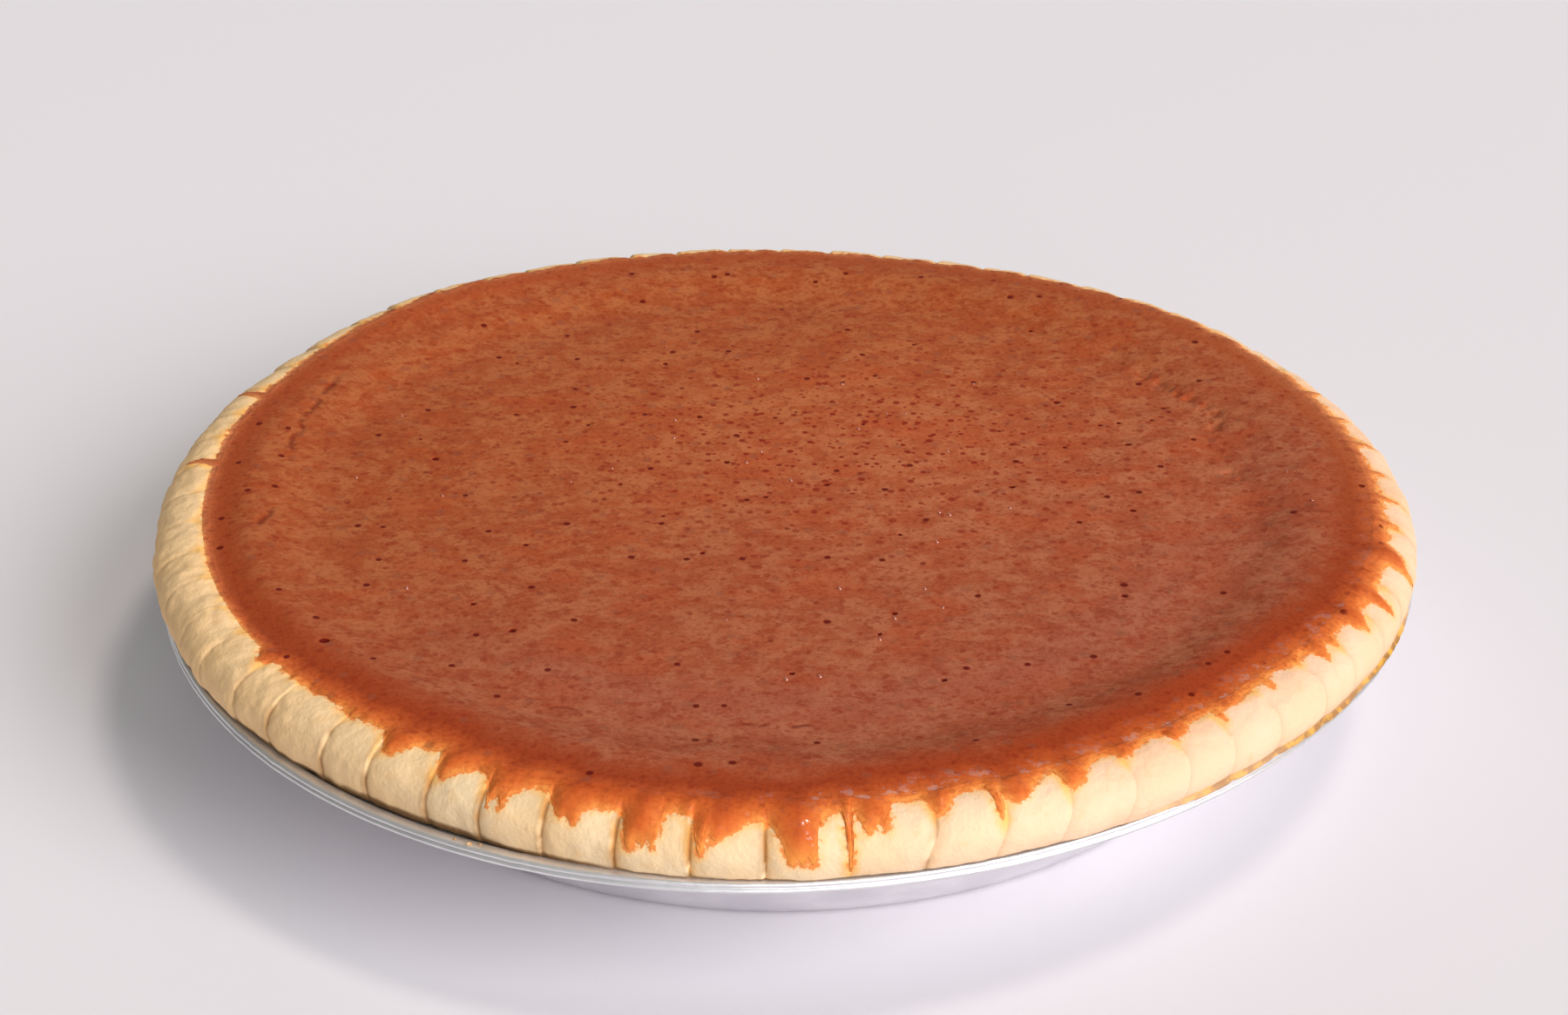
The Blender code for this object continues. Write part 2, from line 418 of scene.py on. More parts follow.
def makeTin():
    foil = tin["foil"]
    base = tin["baseRadius"]
    top = tin["wallTopRadius"]
    flange = tin["flangeHeight"]
    edge = tin["radius"]
    inner = edge - tin["beadWidth"]
    bead = tin["beadTop"]
    seam = tin["beadSeam"]
    bottom = tin["beadBottom"]
    under = flange - foil
    section = [(base - 20.0, foil), (base - tin["baseFillet"], foil), (base - 1.4, foil + 0.35),
               (base - foil + 0.2, foil + 1.6)]
    for part in (0.12, 0.25, 0.4, 0.55, 0.7, 0.85):  # up the inside of the wall
        section.append((mix(base - foil + 0.2, top - 0.6, part), mix(foil + 1.6, flange - 0.9, part)))
    section += [(top - 0.6, flange - 0.9), (top - 0.1, flange - 0.25), (top + 0.6, flange)]
    section += [(mix(top + 0.6, tin["flangeEdge"] - 0.7, part), flange) for part in (0.35, 0.7, 1.0)]
    # the bead is two rolled bands with a seam between them
    section += [(inner - 0.3, flange + 0.35), (inner, bead - 0.3), (inner + 0.3, bead - 0.06),
                (inner + 0.7, bead), (edge - 0.75, bead - 0.02), (edge - 0.35, bead - 0.15),
                (edge - 0.06, bead - 0.42), (edge - 0.05, bead - 0.75), (edge - 0.2, seam + 0.12),
                (edge - tin["seamDepth"], seam), (edge - 0.2, seam - 0.14), (edge + 0.08, seam - 0.4),
                (edge + 0.08, bottom + 0.45), (edge - 0.1, bottom + 0.15), (edge - 0.4, bottom),
                (edge - 0.8, bottom)]
    section += [(tin["flangeEdge"] + 0.3, under), (top + 0.9, under), (top + 0.3, under - 0.2),
                (top - 0.1, under - 0.8)]
    for part in np.arange(1, 24) / 24.0:  # down the outside of the wall
        section.append((mix(top - 0.1, base + 0.6, part), mix(under - 0.8, 1.5, part)))
    section += [(base + 0.6, 1.5), (base + 0.1, 0.6), (base - 1.0, 0.12), (base - 2.6, 0.0)]
    section.append((base - 20.0, 0.0))
    rings = [axisRing(foil)] + [tinRing(*place) for place in section] + [axisRing(0.0)]
    piece = spinRings("tinPan", rings, tin["columns"])
    placeRings(piece, rings)
    writePoints(piece, foilWrinkles(readPoints(piece)))
    finishPiece(piece, foilMaterial(), ["tin"])


def foilMaterial():
    graph = Graph("brightFoil", {"Metallic": 0.8})
    here = graph.place()
    broad = graph.cloud(here, 14.0, 3.0)
    fine = graph.cloud(here, 0.8, 2.0)
    tint = graph.blend(graph.between(broad, 0.35, 0.7), (0.84, 0.82, 0.84), (0.74, 0.72, 0.75))
    rough = 0.32 + broad * 0.16 + fine * 0.05
    crinkle = graph.relief(graph.cloud(here, 4.0, 3.0, 0.6), 0.14)
    grain = graph.relief(fine, 0.01, crinkle)
    return graph.finish({"Base Color": tint, "Roughness": rough, "Normal": grain})


# roll angles go round the section of the crust's rim: 180 at its inside, 90 on top, 0 outside
crust = {
    "thickness": 4.6,
    "gap": 0.4,
    "columns": 1488,
    "rollRadius": 115.5,
    "rollHeight": 32.0,
    "rollOut": 8.3,
    "rollIn": 6.5,
    "rollUp": 6.5,
    "rollEnd": -30.0,
    "followsTin": 0.7,
    "shrink": ((328, 17, -2.7), (256, 9, 1)),
    "rise": ((180, 60, 1), (223, 12, 1.6), (164, 12, -0.8), (130, 10, 0.4)),
    "sag": ((334, 22, 1.3),),  # the lower edge hangs lower where the rim has shrunk
    "lip": 1.2,
    "lumps": 0.26,
    "grain": 0.10,
    "brownTop": -25.2,  # roll angle under which the edge is painted dark brown: baked colour together with painted shade of the gap over the bead
    # painted warm bounce light: how golden the crust is painted round the pie, most on its shaded left
    "toast": ((0, 0.1), (40, 0.3), (90, 0.4), (180, 0.5), (250, 0.8), (290, 1), (318, 0.8), (335, 0.3)),
    # painted light: where the window light takes the yellow out of it
    "rosy": ((0, 0.1), (14, 0.5), (35, 1), (100, 1), (140, 0.4), (200, 0), (350, 0)),
    "juice": ((52, 9, 0.9), (68, 5, 0.9), (37, 4, 0.5)),  # baked juice on the tin's bead
    # grooves that the juice of the custard ran down
    "stained": ((8, 1), (13, 0), (340, 0), (346, 1)),
}

flutes = {
    "count": 62,
    "start": -0.8,
    "depth": 0.62,
    "lobe": 0.12,
    "lap": 0.10,  # each flute rises to the right and ends in a small step
    # degrees that a groove drifts to the right on its way up, round the pie
    "slant": ((0, 0), (6.5, 0), (12, 1.2), (28, 1.4), (42, 1), (180, 0.8), (315, 0), (345, 0.1)),
    "halfWidth": 1.35,
    "radius": 121.0,  # of the circle that their widths are measured on
    # how soft the step is at the right end of a flute, and how dark the painted shade line beside it
    "stepWidth": ((0, 0.2), (9, 0.3), (20, 1), (110, 1), (150, 0.4), (240, 0.4), (300, 0.4), (330, 0.2)),
    "stepShadeStrength": ((0, 0.8), (5.4, 0), (9, 0.6), (20, 0), (120, 0), (150, 0.5), (235, 0.5), (262, 0.1),
                (300, 0.1), (316, 0.75), (345, 0.85)),
    "fadeFrom": 55.0,  # roll angles between which the grooves run out
    "fadeTo": 105.0,
    # how strongly the rim was pinched round the pie
    "strength": ((0, 0.9), (5.4, 0.2), (11.5, 0.5), (20, 0.25), (32, 0.14), (60, 0.14), (120, 0.7),
                 (235, 0.7), (258, 0.25), (298, 0.15), (312, 0.4), (334, 0.55), (344, 0.9)),
    # the pinches at the front, where they are plainest, in degrees off their even places
    "shifts": {-7: 0.7, -6: 0.0, -5: 0.3, -4: -0.5, -3: -0.8, -2: -0.6, -1: -0.4, 0: -0.4,
               1: 0.4, 2: 0.4, 3: 0.4, 4: 0.1},
}


def grooveAngles():  # where the grooves are, with the first again at the end, and their depths
    chance = np.random.default_rng(62)
    places = []
    for number in range(-(flutes["count"] // 2), flutes["count"] // 2):
        shift = flutes["shifts"].get(number, chance.uniform(-0.55, 0.55))
        places.append(flutes["start"] + number * 360.0 / flutes["count"] + shift)
    depths = chance.uniform(0.75, 1.2, len(places))
    return np.append(places, places[0] + 360.0), depths


groovePlaces, grooveDepths = grooveAngles()


def slantAt(angle, roll):
    return alongTable(angle, flutes["slant"]) * smoothStep((roll + 30.0) / 75.0)


def fluteAt(angle, roll):
    # the flute that a place is in, how far along it, and the mm to its left and right grooves
    turned = angle
    for step in range(3):
        turned = angle - slantAt(turned, roll)
    turned = (turned - groovePlaces[0]) % 360.0 + groovePlaces[0]
    index = np.clip(np.searchsorted(groovePlaces, turned, side="right") - 1, 0, flutes["count"] - 1)
    length = groovePlaces[index + 1] - groovePlaces[index]
    part = np.clip((turned - groovePlaces[index]) / length, 0.0, 1.0)
    span = length * math.radians(1.0) * flutes["radius"]
    return index, part, part * span, (1.0 - part) * span


def atFlutes(angle, roll):
    # the columns of points lie closer together at the grooves, and slant as they do
    number = (angle - flutes["start"]) * flutes["count"] / 360.0
    index = np.floor(number + 0.001).astype(int)
    part = np.clip(number - index, 0.0, 1.0)
    part = mix(part, smoothStep(part), 0.7)
    first = (index + flutes["count"] // 2) % flutes["count"]
    bent = mix(groovePlaces[first], groovePlaces[first + 1], part)
    bent = bent + slantAt(bent, roll)
    return (angle + smoothStep((118.0 - roll) / 20.0) * turnBetween(bent, angle)) % 360.0


firstTurn = flutes["start"] + 16.0 * 360.0 / flutes["count"] - 90.0  # turns a column onto a groove


def fluteRelief(angle, roll):
    index, part, left, right = fluteAt(angle, roll)
    fade = smoothStep((flutes["fadeTo"] - roll) / (flutes["fadeTo"] - flutes["fadeFrom"]))
    low = mix(0.3, 1.0, smoothStep((roll + 31.0) / 20.0))  # the lower edge runs on nearly unbroken
    strength = alongTable(angle, flutes["strength"])
    width = flutes["halfWidth"] * (1.0 + 0.4 * smoothStep((roll - 10.0) / 50.0))
    here = flutes["depth"] * grooveDepths[index]
    after = flutes["depth"] * grooveDepths[(index + 1) % flutes["count"]]
    lobe = flutes["lobe"] * (np.sin(np.pi * np.minimum(part, 0.5)) - 0.85)
    slope = lobe + flutes["lap"] * (part - 0.55) - here * np.exp(-((left / width) ** 1.3))
    stepWidth = alongTable(angle, flutes["stepWidth"])
    step = (after + flutes["lobe"] + flutes["lap"]) * np.exp(-((right / stepWidth) ** 2))
    return fade * low * strength * (slope - step)


def rimShift(angle):  # how far the rim is out of round
    return crust["followsTin"] * outOfRound(angle) + bumps(angle, crust["shrink"])


def rollSurface(angle, roll, lift, detail=1.0, relief=1.0):
    # a place on the roll, or lifted off it; with its detail it is uneven as dough is
    angle = np.asarray(angle, float) % 360.0
    roll = np.asarray(roll, float) + 0.0 * angle
    turn = np.radians(roll)
    reach = np.where(roll < 90.0, crust["rollOut"], crust["rollIn"]) + lift
    up = crust["rollUp"] + lift + np.where(roll > 0.0, bumps(angle, crust["rise"]), 0.0)
    uneven = relief * fluteRelief(angle, roll)
    if np.any(detail):
        across = crust["rollRadius"] + crust["rollOut"] * np.cos(turn)
        plain = onPie(angle, across, crust["rollHeight"] + crust["rollUp"] * np.sin(turn))
        dough = crust["lumps"] * noiseAt(plain, 10.0, 3, 5) + crust["grain"] * noiseAt(plain, 2.4, 2, 9)
        left = within(angle, 245.0, 15.0, 330.0, 20.0)
        dough = dough * (1.0 + 0.55 * left) + 0.11 * left * noiseAt(plain, 2.8, 3, 13)
        uneven = uneven + detail * (dough - 0.16)
    radius = crust["rollRadius"] + (reach + uneven) * np.cos(turn) + rimShift(angle)
    height = crust["rollHeight"] + (up + uneven) * np.sin(turn)
    lip = np.minimum(bumps(angle, crust["juice"]), 1.0) * smoothStep((-20.0 - roll) / 8.0)
    return radius + lip * crust["lip"], height - bumps(angle, crust["sag"]) * smoothStep(-roll / 30.0)


def rollRing(roll, lift=0.0):
    def place(angle):
        turned = atFlutes(angle, roll)
        return (*rollSurface(turned, roll, lift), turned)
    return place


def nearRollRing(radius, height):
    def place(angle):
        return radius + rimShift(angle), height
    return place


def fromCustardEdge(points, least):  # mm from the edge of the custard, for points beyond a radius
    away = np.full(len(points), farOff)
    outer = pieRadius(points) > least
    away[outer] = nearest(points[outer], custardOutline())[1]
    return away


def makeCrust():
    gap = crust["gap"]
    floor = 2.0 * tin["foil"]
    flange = tin["flangeHeight"]
    top = tin["wallTopRadius"]
    base = tin["baseRadius"]
    rings = [axisRing(floor + crust["thickness"]), tinRing(base - 4.5, floor + crust["thickness"])]
    rolls = [180.0, 162.0, 145.0, 130.0, 120.0, *np.arange(114.0, -24.0, -3.9), -25.5, -27.5, -29.0]
    rings += [rollRing(roll) for roll in (*rolls, crust["rollEnd"])]
    rings += [rollRing(crust["rollEnd"] - 9.0, -0.5)]
    rings += [nearRollRing(119.4, tin["beadTop"] + gap), nearRollRing(117.6, flange + gap)]
    rings += [tinRing(top + 0.3, flange + gap), tinRing(top - 1.6, flange - 1.2)]
    rings += [tinRing(base - 1.2, floor + 1.8), tinRing(base - tin["baseFillet"] - 1.0, floor)]
    rings.append(axisRing(floor))
    piece = spinRings("crustShell", rings, crust["columns"])
    placeRings(piece, rings, firstTurn)

    # each point remembers how near it is to the custard, to a groove and to the lower edge
    points = readPoints(piece)
    angle = pieAngle(points)
    radius = pieRadius(points)
    away = fromCustardEdge(points, 108.0)
    roll = np.degrees(np.arctan2(points[:, 2] - crust["rollHeight"], radius - crust["rollRadius"]))
    left, right = fluteAt(angle, roll)[2:]
    lower = smoothStep((95.0 - roll) / 50.0)
    # painted shade and grease-soaked dough: the groove attribute darkens the recessed start of each flute
    shade = np.sqrt(alongTable(angle, flutes["strength"])) * lower
    # painted shade: a dark line in each groove and on the lit step face beside it
    crack = np.maximum(np.exp(-((np.minimum(left, right) / 0.42) ** 4)), 0.7 * np.exp(-((right / 0.9) ** 4)))
    broken = smoothStep(0.75 + 1.3 * noiseAt(points, 4.5, 2, 81))
    corner = np.maximum(np.exp(-right / 2.2), 0.8 * np.exp(-left / 1.5))
    stain = mix(0.45, 1.0, corner) * smoothStep(1.1 - (away - 0.2) / (1.0 + 3.0 * corner))
    drained = 0.8 * np.exp(-left / 0.9) * alongTable(angle, crust["stained"])
    juice = np.minimum(bumps(angle, crust["juice"]), 1.0)
    # painted dark brown along the crust's lower edge: baked colour and painted shade of the gap over the
    # bead, wider at the left
    darkEdgeTop = crust["brownTop"] + 1.6 * within(angle, 285.0, 20.0, 350.0, 15.0)
    writeValues(piece, rim=away + 0.4 * within(angle, 246.0, 8.0, 306.0, 6.0),
                groove=0.75 * np.exp(-left / 1.1) * shade,
                crack=crack * lower * broken * alongTable(angle, flutes["stepShadeStrength"]),
                stain=np.maximum(stain, drained),
                # painted warm bounce light: more golden on the shaded left, less on top
                toast=alongTable(angle, crust["toast"]) * mix(1.0, 0.75, smoothStep(roll / 60.0)),
                rosy=alongTable(angle, crust["rosy"]),
                juice=juice * smoothStep((-13.0 - roll) / 5.0),
                low=smoothStep((darkEdgeTop - roll) / 2.0) * (radius > 116.0))
    finishPiece(piece, crustMaterial(), ["crust"])


def crustMaterial():
    graph = Graph("paleShortcrust", {"Specular IOR Level": 0.3})
    here = graph.place()
    patch = graph.cloud(here, 17.0, 3.0)
    mottle = graph.cloud(here, 3.6, 3.0, 0.6)
    crumb = graph.cloud(here, 0.9, 3.0, 0.65)
    dough = graph.blend(graph.between(patch, 0.36, 0.66), (0.86, 0.66, 0.43), (0.85, 0.60, 0.35))
    # painted warm bounce light: golden where the crust is shaded
    dough = graph.blend(graph.attribute("toast") * 0.8, dough, (0.94, 0.57, 0.255))
    dough = graph.blend(graph.between(mottle, 0.54, 0.74) * 0.4, dough, (0.86, 0.50, 0.21))
    # painted light: the yellow taken out where the window light falls
    dough = graph.blend(graph.attribute("rosy"), dough, (1.0, 0.88, 0.99), "MULTIPLY")
    stain = graph.attribute("stain") * graph.between(mottle, 0.28, 0.52)
    dough = graph.blend(stain * 0.95, dough, (0.95, 0.47, 0.10))
    # the recessed start of each flute painted darker: grease-soaked dough together with painted shade
    dough = graph.blend(graph.attribute("groove") * 0.92, dough, (0.50, 0.40, 0.27), "MULTIPLY")
    # painted shade along each groove and its step
    dough = graph.blend(graph.attribute("crack"), dough, (0.40, 0.28, 0.16), "MULTIPLY")
    wet = graph.attribute("rim") - 1.9 * (crumb - 0.42) - 1.6 * (mottle - 0.5)
    dough = graph.blend(1.0 - graph.between(wet, 0.1, 0.45), dough, (0.80, 0.25, 0.055))
    # painted dark brown lower edge: baked colour together with painted shade of the gap over the bead
    dough = graph.blend(graph.attribute("low"), dough, (0.26, 0.135, 0.055))
    juice = graph.blend(graph.between(mottle, 0.42, 0.58), (0.66, 0.34, 0.045), (0.30, 0.14, 0.035))
    dough = graph.blend(graph.attribute("juice"), dough, juice)
    rough = 0.58 + 0.22 * crumb
    lumps = graph.relief(mottle, 0.22)
    grain = graph.relief(crumb, 0.10, lumps)
    return graph.finish({"Base Color": dough, "Roughness": rough, "Normal": grain})


custard = {
    "columns": 124,  # in the middle; moreColumns adds others further out
    "middle": 36.9,
    "middleRise": 0.1,  # how much higher the flat top is at its rim
    "topEnd": 104.0,  # where the top's rings end, and those that lead over to the roll
    "rollStart": 114.0,
    "topFrom": 30.0,  # the height above which points belong to the top
    "markReach": 111.0,  # how far out bubbles and creases are pressed in
    "puffHeight": 39.5,
    "creaseRadius": 95.5,
    "creaseDepth": 0.16,
    "thickness": 1.25,
    "edge": 0.07,  # how thick the sheet is at its edge
    "sunk": 0.35,  # how far the sheet's underside lies in the crust
    "edgeRun": 3.2,  # mm over which it thickens from its edge
    "waves": 0.30,  # height of the broad waves in the top
    "ragged": 3.0,  # of the sheet's edge, in degrees of roll
    "edgeRadius": 118.0,  # about where that edge lies
    "bubbleSize": 0.54,
    "bubbleDepth": 0.42,
    "pimples": 0.2,  # how uneven the skin is on the roll
    # how far in the orange edge reaches: pie angle, mm
    "fringe": ((0, 3.5), (45, 3.2), (90, 3), (150, 1.8), (220, 1.6), (262, 1), (300, 1), (312, 2.2),
               (330, 3.4)),
}

# open bubbles in the top, x and y in mm
bubbles = ((-57, 59), (-25, 59), (55, 75), (29, 68), (20, 52), (13, 49), (41, 50), (-17, 33), (3, 35),
           (17, 29), (-40, 29), (-74, 22), (-70, 13), (-11, 12), (24, 12), (9, 2), (-3, -3), (-23, -11),
           (-32, 2), (23, -19), (-15, -26), (-49, -23), (-57, -46), (-49, -56), (64, -43), (70, 30),
           (77, 31), (66, 29), (58, 40), (80, 37), (71, 20), (58, 19), (45, 26), (46, 1), (69, -9),
           (58, -14), (18, -57), (21, -49), (2, -71), (29, -73))
bigBubble = (-82.2, -63.0)

# closed bubbles that stand up a little and shine, x and y in mm
closedBubbles = ((14, 60), (13, 48), (16, 27), (22, 34), (26, 34), (-34, 9), (-22, 31), (-22, 23), (-42, 3),
                 (-4, 17), (-7, 12), (31, -10), (33, -11), (30, -22), (27, -40), (30, -47), (21, -51),
                 (18, -59), (-10, -52), (1, -73), (7, -72), (41, 49), (-5, 51), (34, 17), (2, 4), (11, -40),
                 (45, -8), (101, 4), (104, -9), (-79, 33), (-85, 5), (-67, -3), (-70, -40))

# creases where the top sank: from and to pie angle, from and to radius, width, depth, redness
creases = ((240, 266, 105.5, 99.5, 0.8, 0.36, 0.42), (275.8, 281, 99, 103.5, 0.75, 0.36, 0.42),
           (113, 126.5, 95.6, 92, 1.5, 0.75, 0.14), (104.5, 113.5, 93.6, 96.6, 1.3, 0.6, 0.12),
           (90, 96.5, 93.5, 89, 1.2, 0.5, 0.1), (353.4, 366, 87.6, 88.6, 0.5, 0.16, 0.5),
           (330, 338, 93.3, 89.5, 0.5, 0.16, 0.4), (345.6, 348.8, 90.4, 90, 0.5, 0.16, 0.5),
           (33, 40, 98, 97, 0.6, 0.15, 0.35))

# how far the custard ran over the roll: the line between the drips
edgeLine = ((4.8, 77), (11.6, 88), (23.3, 89), (35, 92), (50, 92), (55, 90), (58.5, 79), (61.5, 80),
            (66, 72), (73, 74), (82, 80), (110, 83), (130, 83), (150, 86), (185, 89), (205, 90),
            (220, 88), (242, 92), (252, 97), (268, 102), (285, 105), (300, 105), (306, 99), (316, 92),
            (322, 86), (329, 84), (334, 76), (340, 72), (345.5, 62), (352, 68), (358.4, 65))

# the drips: pie angle, roll angle at the tip, degrees to its left, degrees to its right
drips = ((306.5, 82, 2.2, 1.6), (311, 92, 1, 2), (319.5, 84, 1.2, 2.4), (325.3, 55, 2, 2.8),
         (331.2, 49, 1.4, 3), (336.5, 47, 1.8, 3.4), (336.1, 29, 0.6, 0.6), (337.3, 33, 0.6, 0.8),
         (342.4, 40, 1.8, 3.2), (343.4, 32, 0.9, 1.3), (348.8, 26, 1.4, 2.8), (348.2, 8, 1, 1.1),
         (349.3, 14, 1.2, 1.2), (350.1, 13, 0.7, 0.8), (354.8, 36, 1.3, 3.4), (353.8, 9, 0.8, 1),
         (1.2, 14, 2.6, 3), (0.9, -4, 1.5, 1.3), (1.7, -1, 1.3, 1.3), (2.6, -1, 1.1, 0.9),
         (5.4, -14, 0.55, 0.5), (6.8, 44, 1, 2.8), (8.3, 40, 0.7, 0.7), (12.8, 57, 1.2, 2.4),
         (17.6, 37, 0.5, 0.6), (19.3, 55, 1.9, 3.6), (24.2, 57, 0.8, 3.8), (29.9, 76, 0.6, 3.6),
         (35.5, 74, 0.6, 3.6), (41.2, 70, 0.4, 0.5), (43, 84, 2, 3), (48.1, 77, 0.4, 0.7),
         (53, 84, 1.6, 1.6), (55.7, 60, 0.5, 2), (58.1, 68, 0.7, 0.9), (62.4, 52, 1.1, 3),
         (67.3, 31, 0.6, 1.8), (75.6, 40, 2.4, 2.6), (74.8, 8, 1.1, 1.3), (81.5, 62, 0.6, 0.9),
         (86.6, 52, 0.4, 0.7), (92, 62, 0.6, 0.9), (97.8, 56, 0.4, 0.7), (103.5, 64, 0.6, 0.9),
         (109.5, 60, 0.5, 0.8), (250.3, 50, 0.6, 1), (265.6, 56, 0.5, 1.1))


def runDown(angle):  # how far down the custard ran, without its ragged edge
    line = alongTable(angle, edgeLine)
    reach = line.copy()
    for centre, tip, left, right in drips:
        past = turnBetween(angle, centre)
        part = smoothStep(1.0 - np.abs(past) / np.where(past < 0.0, left, right))
        reach = np.minimum(reach, mix(line, np.minimum(tip, line), part))
    # the back has one drip in each flute
    index, part = fluteAt(angle, 40.0)[:2]
    behind = within(angle, 112.0, 8.0, 243.0, 8.0)
    tail = smoothStep(np.where(part < 0.15, part / 0.15, 1.0 - (part - 0.15) / 0.6))
    return reach - behind * tail * (3.0 + 7.0 * (grooveDepths[index] - 0.75) / 0.45)


def edgeRoll(angle):
    angle = np.asarray(angle, float) % 360.0
    steep = np.abs(runDown(angle + 0.12) - runDown(angle - 0.12)) / 0.24
    around = onPie(angle, custard["edgeRadius"], 0.0)
    ragged = custard["ragged"] * (noiseAt(around, 1.5, 2, 21) + 0.6 * noiseAt(around, 0.6, 1, 33))
    ragged = ragged - 7.0 * np.maximum(noiseAt(around, 1.1, 1, 35) - 0.15, 0.0)
    calm = 1.0 - 0.85 * within(angle, 262.0, 6.0, 304.0, 4.0)
    return runDown(angle) + ragged * calm / (1.0 + steep / 30.0)


def custardOutline():  # points along the edge of the custard on the crust
    angle = np.arange(0.0, 360.0, 0.08)
    radius, height = rollSurface(angle, edgeRoll(angle), 0.0)
    return onPie(angle, radius, height)


def startRoll(angle):  # where the sheet over the roll begins
    return np.maximum(100.0, alongTable(angle, edgeLine) + 12.0)


def fullThickness(angle):  # thinner at the left, where it only just reaches the roll
    return custard["thickness"] - 0.2 * within(angle % 360.0, 244.0, 14.0, 308.0, 8.0)


def startThickness(angle):  # where the sheet begins, so that no step is left there
    run = (startRoll(angle) - alongTable(angle, edgeLine)) * math.radians(1.0) * 7.5
    return fullThickness(angle) * (1.0 - np.exp(-run / custard["edgeRun"]))


def puffTop(radius):  # the height of the top
    rise = custard["puffHeight"] - custard["middle"] - custard["middleRise"]
    dip = custard["creaseDepth"] * np.exp(-(((radius - custard["creaseRadius"]) / 4.2) ** 2))
    flat = custard["middle"] + custard["middleRise"] * smoothStep(radius / 84.0)
    return flat - dip + rise * smoothStep((radius - 88.0) / 19.0)


def topRing(radius):  # a ring of the flat top and of the puffed ring round it
    def place(angle):
        follow = smoothStep((radius - 96.0) / 11.0)
        return radius + follow * rimShift(angle), puffTop(radius + 0.0 * angle)
    return place


def sheetAt(angle, part):  # the pie angle and roll angle of a point of the sheet on the roll
    turned = angle
    for step in range(3):
        roll = mix(startRoll(turned), edgeRoll(turned), part)
        turned = atFlutes(angle, roll)
    return turned, mix(startRoll(turned), edgeRoll(turned), part)


def toRollRing(part):  # between the puffed ring and the roll
    def place(angle):
        angle = angle + smoothStep(part) * turnBetween(sheetAt(angle, 0.0)[0], angle)
        innerRadius = topRing(custard["topEnd"])(angle)[0]
        outerRadius, outerHeight = rollSurface(angle, startRoll(angle), startThickness(angle), 0.0)
        puffed = puffTop(mix(custard["topEnd"], custard["rollStart"], part) + 0.0 * angle)
        return mix(innerRadius, outerRadius, part), mix(puffed, outerHeight, smoothStep(part)), angle
    return place


def sheetRing(part, lift=0.0):  # on the roll, from where the sheet begins to its ragged edge
    def place(angle):
        turned, roll = sheetAt(angle, part)
        return (*rollSurface(turned, roll, lift), turned)
    return place


def thickenSheet(piece, parts, first):
    # the sheet is thin at its edge, and each point remembers how far it is from that edge
    points = readPoints(piece)
    angle = pieAngle(points)
    radius = pieRadius(points)
    inward = fromCustardEdge(points, 84.0)
    ring = np.rint(readValues(piece, "ring")).astype(int)
    sheet = (ring >= first) & (ring < first + len(parts))
    turned = angle[sheet]
    part = np.array(parts)[ring[sheet] - first]
    grown = 1.0 - np.exp(-inward[sheet] / custard["edgeRun"])
    begun = startThickness(turned) / fullThickness(turned)
    grown = mix(begun, grown, smoothStep(part * 2.5))
    uneven = noiseAt(points[sheet], 1.9, 2, 61) + 0.9 * noiseAt(points[sheet], 5.0, 1, 63)
    pimples = custard["pimples"] * uneven * smoothStep(part * 4.0)
    lift = mix(custard["edge"], fullThickness(turned) + pimples, grown)
    roll = mix(startRoll(turned), edgeRoll(turned), part)
    flat = smoothStep(inward[sheet] / 2.4)  # it fills the grooves of the roll
    points[sheet] = onPie(turned, *rollSurface(turned, roll, lift, 1.0 - 0.75 * grown, 1.0 - 0.95 * flat))
    writePoints(piece, points)
    rollAngle = np.full(len(points), 120.0)
    rollAngle[sheet] = roll
    shine = bumps(angle, ((38.0, 22.0, 1.0), (8.0, 8.0, 0.8))) * smoothStep((inward - 0.5) / 0.9)
    # painted sheen: a greyer band on the top at the front, standing in for the reflection of the room
    veil = np.exp(-(((radius - 82.0) / 8.0) ** 2)) * smoothStep(np.cos(np.radians(angle - 12.0)) * 1.4 - 0.2)
    # across: where the spots are densest, and also a painted sheen that leaves the middle of the top lighter
    across = np.exp(-(((points[:, 0] - 15.0) / 62.0) ** 2) - ((points[:, 1] - 22.0) / 44.0) ** 2)
    # near marks where a sheen is painted on the front right of the top
    writeValues(piece, roll=rollAngle, rim=inward * 3.5 / alongTable(angle, custard["fringe"]),
                inward=inward, front=smoothStep(np.cos(np.radians(angle - 10.0)) * 1.1 + 0.25),
                shine=shine * smoothStep((6.6 - inward) / 2.6), veil=veil,
                near=smoothStep(0.42 - points[:, 1] / 170.0 + points[:, 0] / 260.0), speckle=across)


def markPlaces():
    # the bubbles, and points every 0.4 mm along the creases, each with its width, depth and redness
    chance = np.random.default_rng(17).uniform(0.6, 1.15, len(bubbles) + 1)
    chance[0] = 1.6
    places = [(x, y, 0.0) for x, y in (bigBubble, *bubbles)]
    marks = [(custard["bubbleSize"] * size, custard["bubbleDepth"] * min(size, 1.3), 1.0) for size in chance]
    for fromAngle, toAngle, fromRadius, toRadius, width, depth, redness in creases:
        steps = int(abs(toAngle - fromAngle) * 1.7 / 0.4) + 2
        part = np.linspace(0.0, 1.0, steps)
        path = onPie(mix(fromAngle, toAngle, part), mix(fromRadius, toRadius, part), 0.0)
        path[:, :2] += 0.9 * np.stack([noiseAt(path, 6.0, 2, seed) for seed in (41, 43)], -1)
        places += [tuple(point) for point in path]
        ends = smoothStep(np.minimum(part, 1.0 - part) * 5.0)
        marks += [(width, depth * end, redness * end) for end in ends]
    return np.array(places, float), np.array(marks)


def onTop(points, reach):  # which points are on the filling's top, within a radius
    return (points[:, 2] > custard["topFrom"]) & (pieRadius(points) < reach)


